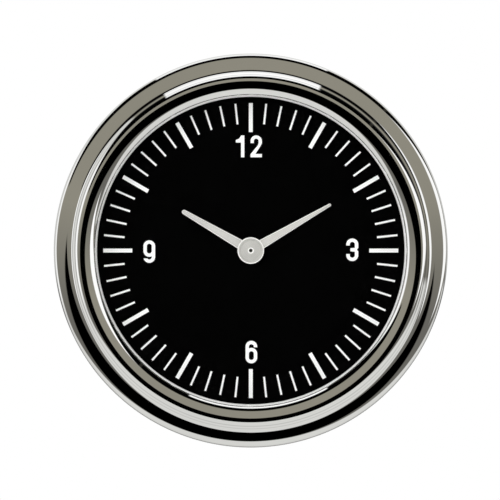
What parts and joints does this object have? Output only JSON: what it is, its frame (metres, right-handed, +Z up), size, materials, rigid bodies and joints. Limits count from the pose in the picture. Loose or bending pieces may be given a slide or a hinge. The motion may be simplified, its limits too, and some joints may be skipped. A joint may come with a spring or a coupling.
{
  "type": "panel-mounted ship's clock",
  "caption": "Round panel-mounted ship's clock with a stepped bright bezel, black dial, silver hands, quartz movement, rear set knob, terminals and clamp bracket.",
  "frame": {"origin": "centre of the plane where the panel's front face meets the bezel gasket, on the axis of the hands", "axes": "-Y is the way the dial faces, +Y runs back through the panel, +Z is up towards 12 o'clock, +X is to the right seen from the front (towards 3)"},
  "size_m": [0.061, 0.0624, 0.061],
  "materials": {
    "bezel_chrome": "polished chrome plate on spun brass",
    "trim_metal": "bright ring",
    "seal_rubber": "matt black rubber",
    "case_steel": "zinc-plated satin steel",
    "lens_glass": "clear flat glass",
    "dial_black": "matt black lacquer",
    "print_white": "white screen print",
    "hand_silver": "satin silver",
    "brass": "machined brass",
    "black_plastic": "moulded black plastic",
    "steel": "turned steel",
    "white_plastic": "natural nylon",
    "magnet": "dark sintered ferrite",
    "iron": "stamped soft iron",
    "copper_wire": "enamelled copper winding",
    "board_green": "green solder mask",
    "chip_black": "black epoxy",
    "can_metal": "drawn metal can",
    "sleeve_blue": "shrunk plastic sleeve",
    "fibre_red": "pressed fibre",
    "bulb_glass": "clear glass"
  },
  "bodies": {
    "case": {"bezel": "bezel_chrome", "panel_gasket": "seal_rubber", "case": "case_steel", "lens_gasket": "seal_rubber", "lens": "lens_glass", "trim_ring": "trim_metal", "dial": "dial_black", "minute_marks": "print_white", "hour_marks": "print_white", "numerals": "print_white", "dial_feet": "brass", "dial_carrier": "black_plastic", "front_plate": "brass", "back_plate": "brass", "pillars": "brass", "plate_screws": "steel", "carrier_screws": "steel", "minute_wheel_post": "steel", "stator": "iron", "stator_posts": "steel", "coil_core": "iron", "coil": "copper_wire", "circuit_board": "board_green", "board_spacers": "steel", "board_screws": "steel", "chip": "chip_black", "crystal": "can_metal", "capacitor": "sleeve_blue", "contact_strips": "brass", "rear_seal": "seal_rubber", "rear_cover": "black_plastic", "cover_screws": "steel", "terminal_studs": "brass", "terminal_insulators": "fibre_red", "terminal_clamp_nuts": "brass", "terminal_washers": "brass", "terminal_lead_nuts": "brass", "lamp_holder": "black_plastic", "lamp_bulb": "bulb_glass", "mounting_studs": "steel"},
    "hour": {"hour_hand": "hand_silver", "hour_wheel": "brass"},
    "minute": {"minute_hand": "hand_silver", "minute_arbor": "steel", "clutch_washer": "brass"},
    "minute_wheel": {"minute_wheel": "brass"},
    "set_knob": {"set_stem": "steel", "set_knob": "black_plastic"},
    "centre_wheel": {"centre_wheel": "brass"},
    "third_wheel": {"third_wheel": "brass"},
    "fourth_wheel": {"fourth_wheel": "brass"},
    "fifth_wheel": {"fifth_wheel": "brass"},
    "rotor": {"rotor_pinion": "white_plastic", "rotor_magnet": "magnet"},
    "clamp": {"bracket": "case_steel", "bracket_washers": "steel"},
    "nut_left": {"nut_left": "brass"},
    "nut_right": {"nut_right": "brass"}
  },
  "joints": [
    {"name": "minute_turn", "type": "hinge", "parent": "case", "child": "minute", "pos_m": [0, 0, 0], "axis": [0, 1, 0], "continuous": true},
    {"name": "hour_turn", "type": "hinge", "parent": "case", "child": "hour", "pos_m": [0, 0, 0], "axis": [0, 1, 0], "continuous": true},
    {"name": "minute_wheel_turn", "type": "hinge", "parent": "case", "child": "minute_wheel", "pos_m": [0, 0, -0.0072], "axis": [0, 1, 0], "continuous": true},
    {"name": "set_knob_turn", "type": "hinge", "parent": "case", "child": "set_knob", "pos_m": [0, 0, -0.0144], "axis": [0, 1, 0], "continuous": true},
    {"name": "fourth_wheel_turn", "type": "hinge", "parent": "case", "child": "fourth_wheel", "pos_m": [-0.0021, 0, 0.00875], "axis": [0, 1, 0], "continuous": true},
    {"name": "centre_wheel_turn", "type": "hinge", "parent": "case", "child": "centre_wheel", "pos_m": [0, 0, 0], "axis": [0, 1, 0], "continuous": true},
    {"name": "third_wheel_turn", "type": "hinge", "parent": "case", "child": "third_wheel", "pos_m": [-0.00701, 0, 0.00405], "axis": [0, 1, 0], "continuous": true},
    {"name": "fifth_wheel_turn", "type": "hinge", "parent": "case", "child": "fifth_wheel", "pos_m": [0.0042, 0, 0.00863], "axis": [0, 1, 0], "continuous": true},
    {"name": "rotor_turn", "type": "hinge", "parent": "case", "child": "rotor", "pos_m": [0.0084, 0, 0.00631], "axis": [0, 1, 0], "continuous": true},
    {"name": "clamp_slide", "type": "slide", "parent": "case", "child": "clamp", "axis": [0, -1, 0], "range_m": [-0.007, 0.005]},
    {"name": "nut_left_turn", "type": "hinge", "parent": "clamp", "child": "nut_left", "pos_m": [-0.012, 0.046, 0], "axis": [0, -1, 0], "range_deg": [-3601, 2572.5]},
    {"name": "nut_right_turn", "type": "hinge", "parent": "clamp", "child": "nut_right", "pos_m": [0.012, 0.046, 0], "axis": [0, -1, 0], "range_deg": [-3601, 2572.5]}
  ],
  "couplings": [
    {"joint": "hour_turn", "follows": "minute_turn", "ratio": 0.083333},
    {"joint": "minute_wheel_turn", "follows": "minute_turn", "ratio": -0.33333},
    {"joint": "set_knob_turn", "follows": "minute_turn", "ratio": 1},
    {"joint": "centre_wheel_turn", "follows": "fourth_wheel_turn", "ratio": 0.016667},
    {"joint": "third_wheel_turn", "follows": "fourth_wheel_turn", "ratio": -0.13333},
    {"joint": "fifth_wheel_turn", "follows": "fourth_wheel_turn", "ratio": -6},
    {"joint": "rotor_turn", "follows": "fourth_wheel_turn", "ratio": 30},
    {"joint": "nut_left_turn", "follows": "clamp_slide", "rad_per_m": 8976},
    {"joint": "nut_right_turn", "follows": "clamp_slide", "rad_per_m": 8976}
  ]
}
